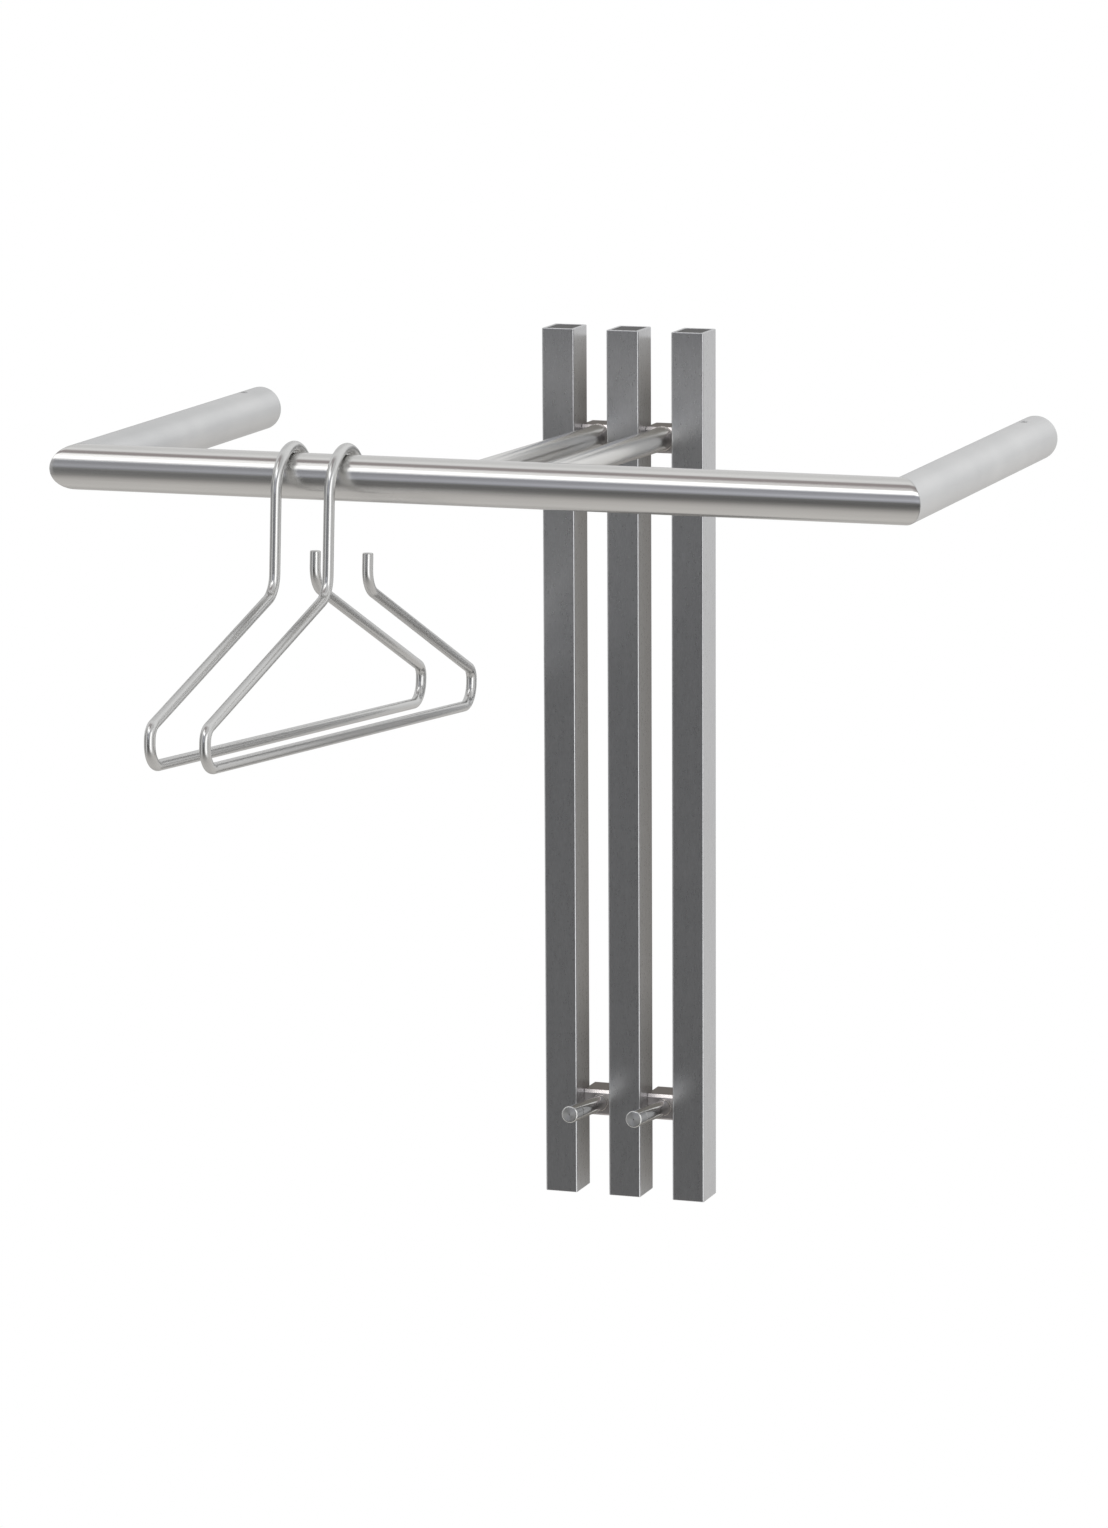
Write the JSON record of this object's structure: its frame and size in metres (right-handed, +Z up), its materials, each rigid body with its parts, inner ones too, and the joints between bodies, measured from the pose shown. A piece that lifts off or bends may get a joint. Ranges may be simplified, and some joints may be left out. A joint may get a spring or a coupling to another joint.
{
  "type": "wall hook rack",
  "caption": "Wall-mounted coat rack: three upright rectangular tubes, a round hanging rail with side returns to the wall, middle arms, hook pegs and one-piece wire hangers.",
  "frame": {"origin": "on the wall plane, midway between the two upper dowel bores, behind the centre upright", "axes": "+X to the viewer's right along the rail, +Y into the wall, +Z up"},
  "size_m": [0.5268, 0.5119, 0.54],
  "materials": {
    "brushed_steel": "satin, brushed along each bar",
    "satin_wire": "fine satin wire",
    "turned_steel": "turned and polished",
    "screw_steel": "dark steel screw",
    "plug_plastic": "matt"
  },
  "bodies": {
    "rack": {"upright_left": "brushed_steel", "upright_centre": "brushed_steel", "upright_right": "brushed_steel", "upper_crosspiece_left": "brushed_steel", "upper_crosspiece_right": "brushed_steel", "lower_crosspiece_left": "brushed_steel", "lower_crosspiece_right": "brushed_steel", "arm_left": "brushed_steel", "arm_right": "brushed_steel", "rail": "brushed_steel", "return_left": "brushed_steel", "return_right": "brushed_steel", "top_plugs": "plug_plastic", "bottom_plugs": "plug_plastic", "wall_spigot_left": "turned_steel", "wall_spigot_right": "turned_steel", "peg_left": "turned_steel", "peg_right": "turned_steel", "grub_screw_left": "screw_steel", "grub_screw_right": "screw_steel"},
    "hanger_near": {"hanger_near": "satin_wire"},
    "hanger_far": {"hanger_far": "satin_wire"}
  },
  "joints": [
    {"name": "hanger_swing", "type": "hinge", "parent": "rack", "child": "hanger_near", "pos_m": [-0.0834, -0.288, 0.0075], "axis": [1, 0, 0], "range_deg": [-25, 25]},
    {"name": "hanger_slide", "type": "slide", "parent": "rack", "child": "hanger_far", "axis": [1, 0, 0], "range_m": [-0.104, 0.02]}
  ]
}
